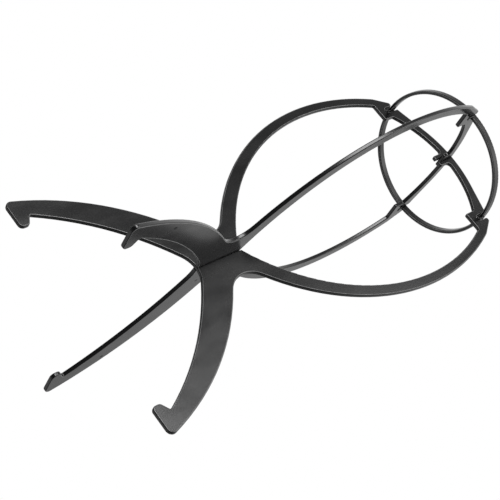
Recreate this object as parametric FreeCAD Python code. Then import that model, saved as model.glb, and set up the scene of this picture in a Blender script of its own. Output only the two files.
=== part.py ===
import FreeCAD, Part
import math
import os

# A standing wig holder made of two flat moulded frames that cross at a right angle, and one round ring.
# Units are millimetres. The stand's axis is +Z, the feet stand on z = 0, and both frames share that axis.
# The outer frame lies in the XZ plane and the inner frame in the YZ plane.
# Every frame outline is drawn in the XZ plane: x is the distance from the axis, z the height.
# A size that ends in HALF is a distance from the axis, one that ends in Z is a height over the floor,
# and one that ends in DROP is counted down from the top of the dome.

# Plate of both frames
PLATE_T = 3.0
EDGE_R = 0.8

# Foot: a flat sole with a hooked heel that points to the axis
TOE_HALF = 88.6
SOLE_L = 20.7
HEEL_H = 6.6
HOOK_REACH = 6.1
HOOK_RISE = 3.8
TOE_ROUND = 4.0
SOLE_ROUND = 3.2
HEEL_ROUND = 3.0
INSTEP_ROUND = 1.2

# Leg: the outer edge runs from the toe to the waist, the inner edge from the instep to the crotch
LEG_OUTER_R = 183.0
LEG_INNER_R = 202.0
CROTCH_Z = 87.95
CROTCH_ROUND = 18.0

# Waist
WAIST_HALF = 17.3
WAIST_Z = 114.5
WAIST_ROUND = 17.5

# Bulb: the widest points of its outer and inner edge, and the foot of its opening
BULB_HALF = 80.2
BULB_Z = 251.2
BULB_BAND = 7.0
BULB_INNER_RISE = 1.9
BULB_FOOT_Z = 125.3
BULB_FOOT_ROUND = 3.0

# Ring: a flat hoop whose four lugs stand in the notches of the frames
RING_R = 52.8
RING_BAND = 2.6
RING_H = 4.9
RING_EDGE_R = 0.6
LUG_W = 2.9
LUG_L = 4.0
LUG_H = 4.1
LUG_INSET = 0.3
LUG_EDGE_R = 0.6
LUG_TURNS = (0, 90, 180, 270)

# Dome between the notches
DOME_Z = 343.0
DOME_R = 90.0
DOME_BAND = 6.1

# Notch that a lug of the ring stands in, with a raised lip on the dome's side
NOTCH_DROP = 23.0
LUG_SIDE_GAP = 0.65
LUG_FLOOR_GAP = 0.1
LIP_RAISE = 4.1
LIP_ROUND = 0.9

# Shoulder outside the notch
TIP_DROP = 14.4
TIP_WIDTH = 3.0
TIP_ROUND = 1.4
SHOULDER_DROP = 26.0
SHOULDER_STEP = 8.0
SHOULDER_BAND = 5.9
SHOULDER_ROUND = 10.0

# Block between the notch and the bulb's opening
TAB_WALL = 4.9
TAB_DEPTH = 6.5
TAB_TOP_DROP = 20.8
TAB_ROUND = 1.2

# Neck crossing: the outer frame is cut from above, the inner frame from below
NECK_LAP_RISE = 17.6
NECK_WIDE_GAP = 0.5
NECK_CLOSE_GAP = 0.2
LAP_GAP = 0.2

# Top crossing: the outer frame clips over the inner frame with two prongs
TOP_LAP_DROP = 6.2
TOP_GAP = 0.2
PRONG_W = 3.1
PRONG_DROP = 16.0
PRONG_ROUND = 1.6
PRONG_ROOT = 3.0
BOSS_HALF = 6.0
BOSS_DROP = 12.0
BOSS_ROUND = 1.5
BOSS_ROOT = 2.5

# Helpers of the modelling
CUT_PAST = 2.0
TOLERANCE = 1e-3
ORIGIN = FreeCAD.Vector(0, 0, 0)
AXIS = FreeCAD.Vector(0, 0, 1)
PLATE_AXIS = FreeCAD.Vector(0, 1, 0)


def point(x, z):
    return FreeCAD.Vector(x, 0, z)


def line(start, end):
    return Part.makeLine(start, end)


def lines(corners):
    """Straight edges from each corner to the next."""
    return [line(a, b) for a, b in zip(corners, corners[1:])]


def arc(centre, start, end):
    """Edge of the circle about centre, the short way from start to end."""
    radius = (start - centre).Length
    middle = (start - centre) + (end - centre)
    middle.normalize()
    return Part.Arc(start, centre + middle * radius, end).toShape()


def along(centre, other, radius):
    """Point of a circle about centre on the ray to another point."""
    ray = other - centre
    ray.normalize()
    return centre + ray * radius


def crossing(centre_a, radius_a, centre_b, radius_b):
    """Where two circles cross, to the right of the way from the first centre to the second."""
    way = centre_b - centre_a
    distance = way.Length
    side = point(way.z, -way.x)
    reach = (radius_a**2 - radius_b**2 + distance**2) / (2 * distance)
    offset = math.sqrt(radius_a**2 - reach**2)
    return centre_a + way * (reach / distance) + side * (offset / distance)


def upright_radius(widest, other, other_radius=0):
    """Radius of the circle that is upright at its widest point and touches a circle about another point.
    A negative radius of the other circle means that it touches from the inside."""
    inset = widest.x - other.x
    rise = widest.z - other.z
    return (inset**2 + rise**2 - other_radius**2) / (2 * (inset + other_radius))


def sag_radius(half, sag):
    """Radius of a crown that falls by the sag at a distance from the axis."""
    return (half**2 + sag**2) / (2 * sag)


def crown_height(centre, radius, x):
    """Height of a circle's upper side at a distance from the axis."""
    return centre.z + math.sqrt(radius**2 - (x - centre.x)**2)


def tangent_point(centre, radius, outside):
    """Upper point where a line from an outside point touches the circle."""
    ray = outside - centre
    angle = math.atan2(ray.z, ray.x) + math.acos(radius / ray.Length)
    return point(centre.x + radius * math.cos(angle), centre.z + radius * math.sin(angle))


# Foot, leg and waist
TOE = point(TOE_HALF, 0)
HEEL = point(TOE_HALF - SOLE_L, 0)
HEEL_TOP = point(HEEL.x, HEEL_H)
INSTEP = point(HEEL.x + HOOK_REACH, HEEL_H + HOOK_RISE)
CROTCH_C = point(0, CROTCH_Z - CROTCH_ROUND)
WAIST_C = point(WAIST_HALF + WAIST_ROUND, WAIST_Z)
LEG_OUTER_C = crossing(WAIST_C, LEG_OUTER_R + WAIST_ROUND, TOE, LEG_OUTER_R)
LEG_INNER_C = crossing(CROTCH_C, LEG_INNER_R - CROTCH_ROUND, INSTEP, LEG_INNER_R)

# Ring, lug and notch
RING_IN = RING_R - RING_BAND / 2
RING_OUT = RING_R + RING_BAND / 2
LUG_R = LUG_W / 2
LUG_IN = RING_IN + LUG_INSET
LUG_MID = LUG_IN + LUG_R
NOTCH_R = LUG_R + LUG_SIDE_GAP
NOTCH_IN = LUG_MID - NOTCH_R
NOTCH_OUT = LUG_MID + NOTCH_R
NOTCH_FLOOR = DOME_Z - NOTCH_DROP
LUG_FOOT = NOTCH_FLOOR + LUG_FLOOR_GAP
RING_FLOOR = LUG_FOOT + LUG_H

# Dome and shoulder
DOME_C = point(0, DOME_Z - DOME_R)
LIP = point(NOTCH_IN, crown_height(DOME_C, DOME_R, NOTCH_IN) + LIP_RAISE)
TIP_Z = DOME_Z - TIP_DROP
TIP_OUT = NOTCH_OUT + TIP_WIDTH
SHOULDER = point(TIP_OUT + SHOULDER_STEP, DOME_Z - SHOULDER_DROP)
TAB_FLOOR = NOTCH_FLOOR - TAB_DEPTH
TAB_IN = NOTCH_IN - TAB_WALL
TAB_OUT = SHOULDER.x - SHOULDER_BAND
TAB_TOP = DOME_Z - TAB_TOP_DROP
DOME_FLOOR = DOME_Z - DOME_BAND
DOME_INNER_R = sag_radius(TAB_IN, DOME_FLOOR - TAB_TOP)
DOME_INNER_C = point(0, DOME_FLOOR - DOME_INNER_R)

# Bulb: each edge has one circle under its widest point and one over it
WIDEST = point(BULB_HALF, BULB_Z)
BULB_LOW_R = upright_radius(WIDEST, WAIST_C, WAIST_ROUND)
BULB_LOW_C = point(BULB_HALF - BULB_LOW_R, BULB_Z)
BULB_HIGH_R = upright_radius(WIDEST, SHOULDER)
BULB_HIGH_C = point(BULB_HALF - BULB_HIGH_R, BULB_Z)
BULB_FOOT_C = point(0, BULB_FOOT_Z + BULB_FOOT_ROUND)
INNER_WIDEST = point(BULB_HALF - BULB_BAND, BULB_Z + BULB_INNER_RISE)
INNER_LOW_R = upright_radius(INNER_WIDEST, BULB_FOOT_C, -BULB_FOOT_ROUND)
INNER_LOW_C = point(INNER_WIDEST.x - INNER_LOW_R, INNER_WIDEST.z)
INNER_HIGH_R = upright_radius(INNER_WIDEST, point(TAB_OUT, TAB_FLOOR))
INNER_HIGH_C = point(INNER_WIDEST.x - INNER_HIGH_R, INNER_WIDEST.z)

# Crossings
NECK_LAP_Z = CROTCH_Z + NECK_LAP_RISE
TOP_LAP_Z = DOME_Z - TOP_LAP_DROP
PRONG_IN = PLATE_T / 2 + TOP_GAP
PRONG_OUT = PRONG_IN + PRONG_W
PRONG_TIP = DOME_Z - PRONG_DROP
BOSS_FLOOR = DOME_Z - BOSS_DROP


def leg_edges():
    """Right half of the crotch, the leg and the foot, from the axis to the toe."""
    crotch = point(0, CROTCH_Z)
    under_leg = along(LEG_INNER_C, CROTCH_C, LEG_INNER_R)
    return [
        arc(CROTCH_C, crotch, under_leg),
        arc(LEG_INNER_C, under_leg, INSTEP),
    ] + lines([INSTEP, HEEL_TOP, HEEL, TOE])


def side_edges():
    """Right-hand outside of the leg, the waist and the bulb, from the toe to the shoulder."""
    low = along(LEG_OUTER_C, WAIST_C, LEG_OUTER_R)
    high = along(BULB_LOW_C, WAIST_C, BULB_LOW_R)
    return [
        arc(LEG_OUTER_C, TOE, low),
        arc(WAIST_C, low, high),
        arc(BULB_LOW_C, high, WIDEST),
        arc(BULB_HIGH_C, WIDEST, SHOULDER),
    ]


def crown_edges():
    """Right half of the shoulder, the notch and the dome, from the shoulder to the axis."""
    side_out = point(NOTCH_OUT, NOTCH_FLOOR + NOTCH_R)
    side_in = point(NOTCH_IN, NOTCH_FLOOR + NOTCH_R)
    touch = tangent_point(DOME_C, DOME_R, LIP)
    tip = lines([SHOULDER, point(TIP_OUT, TIP_Z), point(NOTCH_OUT, TIP_Z), side_out])
    floor = Part.Arc(side_out, point(LUG_MID, NOTCH_FLOOR), side_in).toShape()
    lip = lines([side_in, LIP, touch])
    return tip + [floor] + lip + [arc(DOME_C, touch, point(0, DOME_Z))]


def opening_edges(hang_half, hang_floor):
    """Right half of the bulb's opening, with a block that hangs from the middle of the dome."""
    bottom = point(0, BULB_FOOT_Z)
    start = along(INNER_LOW_C, BULB_FOOT_C, INNER_LOW_R)
    tab_out = point(TAB_OUT, TAB_FLOOR)
    tab_top = point(TAB_IN, TAB_TOP)
    root = point(hang_half, crown_height(DOME_INNER_C, DOME_INNER_R, hang_half))
    sides = [
        arc(BULB_FOOT_C, bottom, start),
        arc(INNER_LOW_C, start, INNER_WIDEST),
        arc(INNER_HIGH_C, INNER_WIDEST, tab_out),
    ]
    tab = lines([tab_out, point(TAB_IN, TAB_FLOOR), tab_top])
    hang = lines([root, point(hang_half, hang_floor), point(0, hang_floor)])
    return sides + tab + [arc(DOME_INNER_C, tab_top, root)] + hang


def closed_wire(half):
    """Wire made of the right-hand edges and their mirror images."""
    other = [edge.mirror(ORIGIN, FreeCAD.Vector(1, 0, 0)) for edge in half]
    return Part.Wire(Part.__sortEdges__(half + other))


def across_edges(solid, x, z):
    """Edges through the plate's thickness at (x, z) and (-x, z)."""
    found = []
    for edge in solid.Edges:
        ends = [vertex.Point for vertex in edge.Vertexes]
        if all(abs(abs(end.x) - x) < TOLERANCE and abs(end.z - z) < TOLERANCE for end in ends):
            found.append(edge)
    return found


def rounded_corners(solid, corners):
    """Round the outline's corners: each is (x, z, radius)."""
    for x, z, radius in corners:
        solid = solid.makeFillet(radius, across_edges(solid, x, z))
    return solid


def softened(solid):
    """Round the outline's edges on both faces of the plate."""
    rims = []
    for edge in solid.Edges:
        depths = [vertex.Point.y for vertex in edge.Vertexes]
        on_face = all(abs(abs(depth) - PLATE_T / 2) < TOLERANCE for depth in depths)
        if on_face and max(depths) - min(depths) < TOLERANCE:
            rims.append(edge)
    return solid.makeFillet(EDGE_R, rims)


def frame_plate(hang_half, hang_floor, hang_round, hang_root):
    """Whole frame before its slots are cut."""
    outline = closed_wire(leg_edges() + side_edges() + crown_edges())
    opening = closed_wire(opening_edges(hang_half, hang_floor))
    face = Part.makeFace([outline, opening], "Part::FaceMakerBullseye")
    face.translate(PLATE_AXIS * (-PLATE_T / 2))
    plate = face.extrude(PLATE_AXIS * PLATE_T)
    plate = rounded_corners(plate, [
        (INSTEP.x, INSTEP.z, INSTEP_ROUND),
        (HEEL_TOP.x, HEEL_TOP.z, HEEL_ROUND),
        (HEEL.x, 0, SOLE_ROUND),
        (TOE.x, 0, TOE_ROUND),
        (SHOULDER.x, SHOULDER.z, SHOULDER_ROUND),
        (TIP_OUT, TIP_Z, TIP_ROUND),
        (NOTCH_OUT, TIP_Z, TIP_ROUND),
        (LIP.x, LIP.z, LIP_ROUND),
        (TAB_OUT, TAB_FLOOR, TAB_ROUND),
        (TAB_IN, TAB_FLOOR, TAB_ROUND),
        (TAB_IN, TAB_TOP, TAB_ROUND),
        (hang_half, crown_height(DOME_INNER_C, DOME_INNER_R, hang_half), hang_root),
        (hang_half, hang_floor, hang_round),
    ])
    return softened(plate)


def slot(half, low, high):
    """Cutter through the plate, centred on the axis."""
    depth = PLATE_T + 2 * CUT_PAST
    return Part.makeBox(2 * half, depth, high - low, FreeCAD.Vector(-half, -depth / 2, low))


def outer_frame():
    """Frame with the prongs: its neck is cut from above, its dome from below."""
    plate = frame_plate(PRONG_OUT, PRONG_TIP, PRONG_ROUND, PRONG_ROOT)
    neck = slot(PLATE_T / 2 + NECK_WIDE_GAP, NECK_LAP_Z, BULB_FOOT_C.z)
    top = slot(PRONG_IN, PRONG_TIP - CUT_PAST, TOP_LAP_Z)
    return plate.cut(neck).cut(top)


def inner_frame():
    """Frame with the boss: its neck is cut from below, its dome from above."""
    plate = frame_plate(BOSS_HALF, BOSS_FLOOR, BOSS_ROUND, BOSS_ROOT)
    neck = slot(PLATE_T / 2 + NECK_CLOSE_GAP, CROTCH_C.z, NECK_LAP_Z + LAP_GAP)
    top = slot(PRONG_IN, TOP_LAP_Z - LAP_GAP, DOME_Z + CUT_PAST)
    frame = plate.cut(neck).cut(top)
    frame.rotate(ORIGIN, AXIS, 90)
    return frame


def lug():
    """Block with a round foot under the hoop, at the notch on the +X side."""
    side = FreeCAD.Vector(LUG_IN, -LUG_L / 2, LUG_FOOT + LUG_R)
    block = Part.makeBox(LUG_W, LUG_L, LUG_H + RING_H / 2 - LUG_R, side)
    foot = Part.makeCylinder(LUG_R, LUG_L, side + FreeCAD.Vector(LUG_R, 0, 0), PLATE_AXIS)
    block = block.fuse(foot).removeSplitter()
    ends = []
    for edge in block.Edges:
        depths = [vertex.Point.y for vertex in edge.Vertexes]
        if max(depths) - min(depths) < TOLERANCE:
            ends.append(edge)
    return block.makeFillet(LUG_EDGE_R, ends)


def ring():
    """Flat hoop with its four lugs."""
    floor = point(0, RING_FLOOR)
    hoop = Part.makeCylinder(RING_OUT, RING_H, floor).cut(Part.makeCylinder(RING_IN, RING_H, floor))
    rims = [edge for edge in hoop.Edges if isinstance(edge.Curve, Part.Circle)]
    hoop = hoop.makeFillet(RING_EDGE_R, rims)
    for turn in LUG_TURNS:
        block = lug()
        block.rotate(ORIGIN, AXIS, turn)
        hoop = hoop.fuse(block)
    return hoop


def main():
    os.makedirs("parts", exist_ok=True)
    pieces = {
        "outer_frame": outer_frame(),
        "inner_frame": inner_frame(),
        "ring": ring(),
    }
    for name, shape in pieces.items():
        shape.exportStep("parts/" + name + ".step")


main()
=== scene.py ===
from math import pi

import bpy
from mathutils import Matrix, Vector


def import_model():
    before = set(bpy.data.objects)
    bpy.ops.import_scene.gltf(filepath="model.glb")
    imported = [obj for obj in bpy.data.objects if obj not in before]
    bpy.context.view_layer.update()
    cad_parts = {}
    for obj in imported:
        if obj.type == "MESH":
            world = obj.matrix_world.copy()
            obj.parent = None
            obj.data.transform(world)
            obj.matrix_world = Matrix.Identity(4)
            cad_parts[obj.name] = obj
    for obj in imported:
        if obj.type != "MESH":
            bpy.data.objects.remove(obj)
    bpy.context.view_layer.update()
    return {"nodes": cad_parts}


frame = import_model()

# A collapsible wig stand of black moulded plastic: two crossed frames and a ring.
# Units are metres, +Z is the stand's axis and the feet stand on z = 0.

# Camera of the photograph: its right, up and backward directions and its place
CAMERA_RIGHT = (0.58968, -0.38206, 0.71155)
CAMERA_UP = (-0.75372, -0.57683, 0.31491)
CAMERA_BACK = (0.29012, -0.72201, -0.62812)
CAMERA_PLACE = (0.258248, -0.631878, -0.417249)
CAMERA_LENS = 98.3
CAMERA_SENSOR = 36.0
CAMERA_SHIFT = (-0.001, 0.001)
CAMERA_CLIP = (0.01, 50.0)

# Grey and roughness of the pieces
FRAME_LOOK = (0.0045, 0.22)
RING_LOOK = (0.005, 0.23)
PLASTIC_IOR = 1.5

# Parts of the plastic's surface: how many times the piece's grey they have, and how much blue on top
DARK_CLOUD = (0.8, 0.0002)
PALE_CLOUD = (1.25, 0.0004)
# Painted highlight on the rounded rims
PAINTED_RIM_HIGHLIGHT = (48.0, 0.001)
# Painted shade in corners and gaps; the pin marks take the same grey
PAINTED_SHADE_AND_PIN_GREY = (0.3, 0.0)

# Roughness that smears take off and put on, and that specks and the painted rim highlights put on
SMEAR_ROUGHNESS = (-0.03, 0.04)
SPECK_ROUGHNESS = 0.03
RIM_HIGHLIGHT_ROUGHNESS = 0.08

# How strong the mirroring is on open faces, and where shade is painted in corners and gaps and on the
# pin marks
OPEN_SPECULAR = 0.5
PAINTED_SHADE_AND_PIN_SPECULAR = 0.04

# Noise patterns: cells to a metre, detail and roughness. Smears are drawn out along the stand's axis.
CLOUDS = (30.0, 2.0, 0.35)
SMEARS = (70.0, 4.0, 0.5)
GRAIN = (2600.0, 2.0, 0.5)
SPECKS = (900.0, 2.0, 0.4)
# Noise that breaks up the painted rim highlight
RIM_HIGHLIGHT_NOISE = (120.0, 4.0, 0.6)
FLOOR_CLOUDS = (14.0, 4.0, 0.5)
SMEAR_STRETCH = (1.0, 1.0, 0.35)

# Parts of a noise's range over which its effect goes from none to full
CLOUD_RANGE = (0.35, 0.65)
SMEAR_RANGE = (0.3, 0.7)
SPECK_RANGE = (0.55, 0.75)
RIM_HIGHLIGHT_NOISE_RANGE = (0.3, 0.7)

# Share of the painted rim highlight that shows where the noise breaking it up is lowest and highest
RIM_HIGHLIGHT_NOISE_SHARE = (0.45, 1.0)

# Heights and depth of the surface texture, and how much of them shows
GRAIN_HEIGHT = 0.000005
CLOUD_HEIGHT = 0.00020
PIN_DEPTH = 0.00025
BUMP_STRENGTH = 0.6

# Small round marks of the moulding tool's pins on the inner frame: distance from the axis and height
PIN_MARKS = ((0.0690, 0.0385), (0.0156, 0.0945))
PIN_RADIUS = 0.0015
PIN_DULLNESS = 0.9
PLATE_HALF = 0.0015

# Rounded edges by how far they have turned from the flat face, as the squared cosine:
# where the painted rim highlight comes in on the wall's side, and where it comes in on the face's side
RIM_FROM_WALL = (0.62, 0.85)
RIM_FROM_FACE = (0.993, 0.96)

# How near to another surface corners get painted shade, and how open they are where that starts and is
# full
CREVICE_REACH = 0.0025
CREVICE_OPEN = (0.78, 0.40)

# The floor next to the soles doesn't put painted shade on them: heights where the painted shade starts
# and is full
SOLE_HEIGHTS = (0.0010, 0.0030)

# The floor is a square, which fades out between two distances from the axis
FLOOR_HALF = 6.0
FLOOR_FADE = (0.8, 4.0)
FLOOR_DARK = 0.86
FLOOR_PALE = 0.9

# Studio that the plastic mirrors, where 1 is white: the dim room,
# and the direction, level and spread of each pale side
DIM_LEVEL = 0.04
PALE_SIDES = (
    ((0.50, 0.10, 0.86), 1.00, 0.45),
    ((-0.59, 0.39, 0.71), 0.85, 0.18),
    ((-0.29, 0.53, -0.80), 0.60, 0.25),
    ((0.63, -0.48, 0.61), 2.00, 0.05),
    ((-0.28, -0.10, 0.95), 0.55, 0.04),
)

# Even level of the plain light all around
PLAIN_LEVEL = 0.75

# Middle of the stand, which the lamps face
CENTRE = (0.0, 0.0, 0.17)

# Lamps: name, direction and distance from the middle, width, and level of the face, where 1 is white
MIRRORED_LAMPS = (
    ("key", (0.07, -0.81, 0.58), 1.3, 0.68, 3.5),
    ("low", (-0.25, -0.945, 0.20), 1.3, 0.60, 10.0),
)
SHADOW_LAMP = ("above", (-0.25, -0.45, 0.86), 2.4, 1.6, 3.2)


class Nodes:
    """Short calls to add and link the nodes of one tree."""

    def __init__(self, tree):
        self.tree = tree
        tree.nodes.clear()

    def put(self, value, socket):
        """Link an output to a socket, or write a plain value on it."""
        if isinstance(value, bpy.types.NodeSocket):
            self.tree.links.new(value, socket)
        else:
            socket.default_value = value

    def add(self, kind, inputs=None, **settings):
        node = self.tree.nodes.new(kind)
        for name, value in settings.items():
            setattr(node, name, value)
        for name, value in (inputs or {}).items():
            self.put(value, node.inputs[name])
        return node

    def math(self, operation, a, b=0.0):
        return self.add("ShaderNodeMath", {0: a, 1: b}, operation=operation).outputs[0]

    def vector_math(self, operation, a, b=(0.0, 0.0, 0.0)):
        """Vector operation whose result is one number."""
        return self.add("ShaderNodeVectorMath", {0: a, 1: b}, operation=operation).outputs["Value"]

    def noise(self, point, scale, detail, roughness):
        inputs = {"Vector": point, "Scale": scale, "Detail": detail, "Roughness": roughness}
        return self.add("ShaderNodeTexNoise", inputs).outputs["Fac"]

    def ramp(self, value, low, high, to_low=0.0, to_high=1.0):
        inputs = {"Value": value, "From Min": low, "From Max": high, "To Min": to_low, "To Max": to_high}
        return self.add("ShaderNodeMapRange", inputs, interpolation_type="SMOOTHSTEP").outputs["Result"]

    def number_mix(self, share, first, second):
        node = self.add("ShaderNodeMix", {0: share, 2: first, 3: second}, data_type="FLOAT")
        return node.outputs[0]

    def mix(self, share, first, second):
        node = self.add("ShaderNodeMix", {0: share, 6: first, 7: second}, data_type="RGBA")
        return node.outputs[2]


def grey(value, blue=0.0):
    return (value, value, value + blue, 1.0)


def shade(base, times, blue):
    """The piece's grey, made darker or paler and a little bluer."""
    return grey(base * times, blue)


def edge_share(nodes, axis):
    """Where the painted rim highlight goes: 1 where a rounded edge leaves a face that is square to the
    axis, 0 on the flats and the walls.
    """
    normal = nodes.add("ShaderNodeTexCoord").outputs["Normal"]
    along = nodes.vector_math("DOT_PRODUCT", normal, axis)
    square = nodes.math("MULTIPLY", along, along)
    return nodes.math("MULTIPLY", nodes.ramp(square, *RIM_FROM_WALL), nodes.ramp(square, *RIM_FROM_FACE))


def pin_share(nodes, point, marks):
    """1 inside the small round marks, 0 elsewhere."""
    share = 0.0
    for centre in marks:
        away = nodes.vector_math("DISTANCE", point, centre)
        share = nodes.math("MAXIMUM", share, nodes.ramp(away, PIN_RADIUS, 0.6 * PIN_RADIUS))
    return share


def painted_crevice_shade(nodes, point):
    """Painted shade: 1 deep in the corners and gaps between pieces, 0 on open faces and on the soles."""
    inputs = {"Distance": CREVICE_REACH}
    open_share = nodes.add("ShaderNodeAmbientOcclusion", inputs, samples=8).outputs["AO"]
    height = nodes.add("ShaderNodeSeparateXYZ", {0: point}).outputs["Z"]
    off_floor = nodes.ramp(height, *SOLE_HEIGHTS)
    # Painted shade where the surface is closed in, kept off the soles
    return nodes.math("MULTIPLY", nodes.ramp(open_share, *CREVICE_OPEN), off_floor)


def plastic_colour(nodes, base, clouds, painted_rim_highlight):
    """Black that clouds a little, with a painted highlight on the rounded rims."""
    cloudy = nodes.ramp(clouds, *CLOUD_RANGE)
    colour = nodes.mix(cloudy, shade(base, *DARK_CLOUD), shade(base, *PALE_CLOUD))
    # Painted highlight on the rounded rims
    return nodes.mix(painted_rim_highlight, colour, shade(base, *PAINTED_RIM_HIGHLIGHT))


def plastic_roughness(nodes, point, roughness, painted_rim_highlight):
    """Roughness that changes with smears and specks and is higher where the rim highlight is painted."""
    drawn_out = {"Vector": point, "Scale": SMEAR_STRETCH}
    smears = nodes.noise(nodes.add("ShaderNodeMapping", drawn_out).outputs[0], *SMEARS)
    specks = nodes.ramp(nodes.noise(point, *SPECKS), *SPECK_RANGE)
    smoothest, roughest = [roughness + change for change in SMEAR_ROUGHNESS]
    rough = nodes.ramp(smears, *SMEAR_RANGE, smoothest, roughest)
    rough = nodes.math("ADD", rough, nodes.math("MULTIPLY", specks, SPECK_ROUGHNESS))
    return nodes.math("ADD", rough, nodes.math("MULTIPLY", painted_rim_highlight, RIM_HIGHLIGHT_ROUGHNESS))


def plastic(name, axis, base, roughness, marks=()):
    """Black moulded plastic with a fine grain, flow clouds, smears, a painted highlight on the rounded
    rims and painted shade in corners and gaps.
    """
    material = bpy.data.materials.new(name)
    material.use_nodes = True
    nodes = Nodes(material.node_tree)
    point = nodes.add("ShaderNodeTexCoord").outputs["Object"]
    clouds = nodes.noise(point, *CLOUDS)
    # Painted highlight on the rounded rims, broken up by noise
    rim_highlight_noise = nodes.ramp(nodes.noise(point, *RIM_HIGHLIGHT_NOISE), *RIM_HIGHLIGHT_NOISE_RANGE, *RIM_HIGHLIGHT_NOISE_SHARE)
    painted_rim_highlight = nodes.math("MULTIPLY", edge_share(nodes, axis), rim_highlight_noise)
    # Painted shade in corners and gaps between pieces
    painted_shade_and_pins = painted_crevice_shade(nodes, point)
    height = nodes.math("MULTIPLY", nodes.noise(point, *GRAIN), GRAIN_HEIGHT)
    height = nodes.math("ADD", height, nodes.math("MULTIPLY", clouds, CLOUD_HEIGHT))
    if marks:
        pins = pin_share(nodes, point, marks)
        painted_shade_and_pins = nodes.math("MAXIMUM", painted_shade_and_pins, nodes.math("MULTIPLY", pins, PIN_DULLNESS))
        height = nodes.math("SUBTRACT", height, nodes.math("MULTIPLY", pins, PIN_DEPTH))
    colour = plastic_colour(nodes, base, clouds, painted_rim_highlight)
    bumps = {"Height": height, "Strength": BUMP_STRENGTH, "Distance": 1.0}
    # The painted shade darkens the base colour and lowers the mirroring in corners and gaps and on the
    # pin marks
    shader = nodes.add("ShaderNodeBsdfPrincipled", {
        "Base Color": nodes.mix(painted_shade_and_pins, colour, shade(base, *PAINTED_SHADE_AND_PIN_GREY)),
        "Roughness": plastic_roughness(nodes, point, roughness, painted_rim_highlight),
        "IOR": PLASTIC_IOR,
        "Specular IOR Level": nodes.number_mix(painted_shade_and_pins, OPEN_SPECULAR, PAINTED_SHADE_AND_PIN_SPECULAR),
        "Normal": nodes.add("ShaderNodeBump", bumps).outputs["Normal"],
    })
    nodes.add("ShaderNodeOutputMaterial", {"Surface": shader.outputs[0]})
    return material


def dress(node_name, material):
    """Give a CAD node its material."""
    node = frame["nodes"][node_name]
    node.data.materials.clear()
    node.data.materials.append(material)


def floor():
    """Plain pale floor under the soles, which fades far away and isn't seen from below or mirrored."""
    mesh = bpy.data.meshes.new("floor")
    corners = [(FLOOR_HALF * x, FLOOR_HALF * y, 0) for x, y in ((-1, -1), (1, -1), (1, 1), (-1, 1))]
    mesh.from_pydata(corners, [], [(0, 1, 2, 3)])
    piece = bpy.data.objects.new("floor", mesh)
    bpy.context.scene.collection.objects.link(piece)
    material = bpy.data.materials.new("floor")
    material.use_nodes = True
    nodes = Nodes(material.node_tree)
    point = nodes.add("ShaderNodeTexCoord").outputs["Object"]
    colour = nodes.mix(nodes.noise(point, *FLOOR_CLOUDS), grey(FLOOR_DARK), grey(FLOOR_PALE))
    top = nodes.add("ShaderNodeBsdfDiffuse", {"Color": colour}).outputs[0]
    clear = nodes.add("ShaderNodeBsdfTransparent").outputs[0]
    back = nodes.add("ShaderNodeNewGeometry").outputs["Backfacing"]
    mirrored = nodes.add("ShaderNodeLightPath").outputs["Is Glossy Ray"]
    away = nodes.vector_math("LENGTH", point)
    gone = nodes.math("MAXIMUM", nodes.math("MAXIMUM", back, mirrored), nodes.ramp(away, *FLOOR_FADE))
    both = nodes.add("ShaderNodeMixShader", {0: gone, 1: top, 2: clear}).outputs[0]
    nodes.add("ShaderNodeOutputMaterial", {"Surface": both})
    mesh.materials.append(material)


def pale_side(nodes, way, towards, level, spread):
    """Level of a pale side of the room, which fades as the way turns from it."""
    agree = nodes.vector_math("DOT_PRODUCT", way, Vector(towards).normalized())
    fade = nodes.math("EXPONENT", nodes.math("DIVIDE", nodes.math("SUBTRACT", agree, 1.0), spread))
    return nodes.math("MULTIPLY", fade, level)


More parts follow.
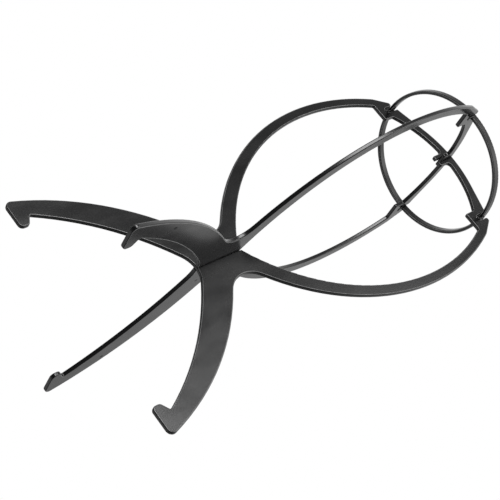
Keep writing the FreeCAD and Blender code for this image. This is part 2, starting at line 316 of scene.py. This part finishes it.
def world():
    """White for the eye, a dim room with pale sides for reflections, an even level for plain light."""
    made = bpy.data.worlds.new("studio")
    made.use_nodes = True
    made.cycles.sampling_method = "NONE"
    bpy.context.scene.world = made
    nodes = Nodes(made.node_tree)
    way = nodes.add("ShaderNodeTexCoord").outputs["Generated"]
    room = DIM_LEVEL
    for towards, level, spread in PALE_SIDES:
        room = nodes.math("ADD", room, pale_side(nodes, way, towards, level, spread))
    path = nodes.add("ShaderNodeLightPath").outputs
    level = nodes.number_mix(path["Is Glossy Ray"], PLAIN_LEVEL, room)
    seen = nodes.math("MAXIMUM", path["Is Camera Ray"], path["Is Transmission Ray"])
    level = nodes.number_mix(seen, level, 1.0)
    light = nodes.add("ShaderNodeBackground", {"Color": grey(1.0), "Strength": level}).outputs[0]
    nodes.add("ShaderNodeOutputWorld", {"Surface": light})


def lamp(name, towards, reach, width, level):
    """Round light that faces the middle of the stand."""
    data = bpy.data.lights.new(name, "AREA")
    data.shape = "DISK"
    data.size = width
    data.energy = level * pi * pi * width * width / 4
    piece = bpy.data.objects.new(name, data)
    towards = Vector(towards).normalized()
    piece.location = Vector(CENTRE) + reach * towards
    piece.rotation_euler = towards.to_track_quat("Z", "Y").to_euler()
    piece.visible_camera = False
    bpy.context.scene.collection.objects.link(piece)
    return piece


def lamps():
    """Two bright lights that only mirrors see, and a wide one above that throws the soft shadow."""
    for values in MIRRORED_LAMPS:
        lamp(*values).visible_diffuse = False
    lamp(*SHADOW_LAMP).visible_glossy = False


def camera():
    """Camera of the photograph."""
    data = bpy.data.cameras.new("photo_camera")
    data.lens = CAMERA_LENS
    data.sensor_width = CAMERA_SENSOR
    data.shift_x, data.shift_y = CAMERA_SHIFT
    data.clip_start, data.clip_end = CAMERA_CLIP
    piece = bpy.data.objects.new("photo_camera", data)
    turn = Matrix((CAMERA_RIGHT, CAMERA_UP, CAMERA_BACK)).transposed().to_4x4()
    piece.matrix_world = Matrix.Translation(CAMERA_PLACE) @ turn
    bpy.context.scene.collection.objects.link(piece)
    bpy.context.scene.camera = piece


def main():
    bpy.context.scene.view_settings.view_transform = "Standard"
    pins = [(PLATE_HALF, side * reach, height) for reach, height in PIN_MARKS for side in (-1, 1)]
    dress("outer_frame", plastic("outer_frame_plastic", (0.0, 1.0, 0.0), *FRAME_LOOK))
    dress("inner_frame", plastic("inner_frame_plastic", (1.0, 0.0, 0.0), *FRAME_LOOK, pins))
    dress("ring", plastic("ring_plastic", (0.0, 0.0, 1.0), *RING_LOOK))
    floor()
    world()
    lamps()
    camera()


main()
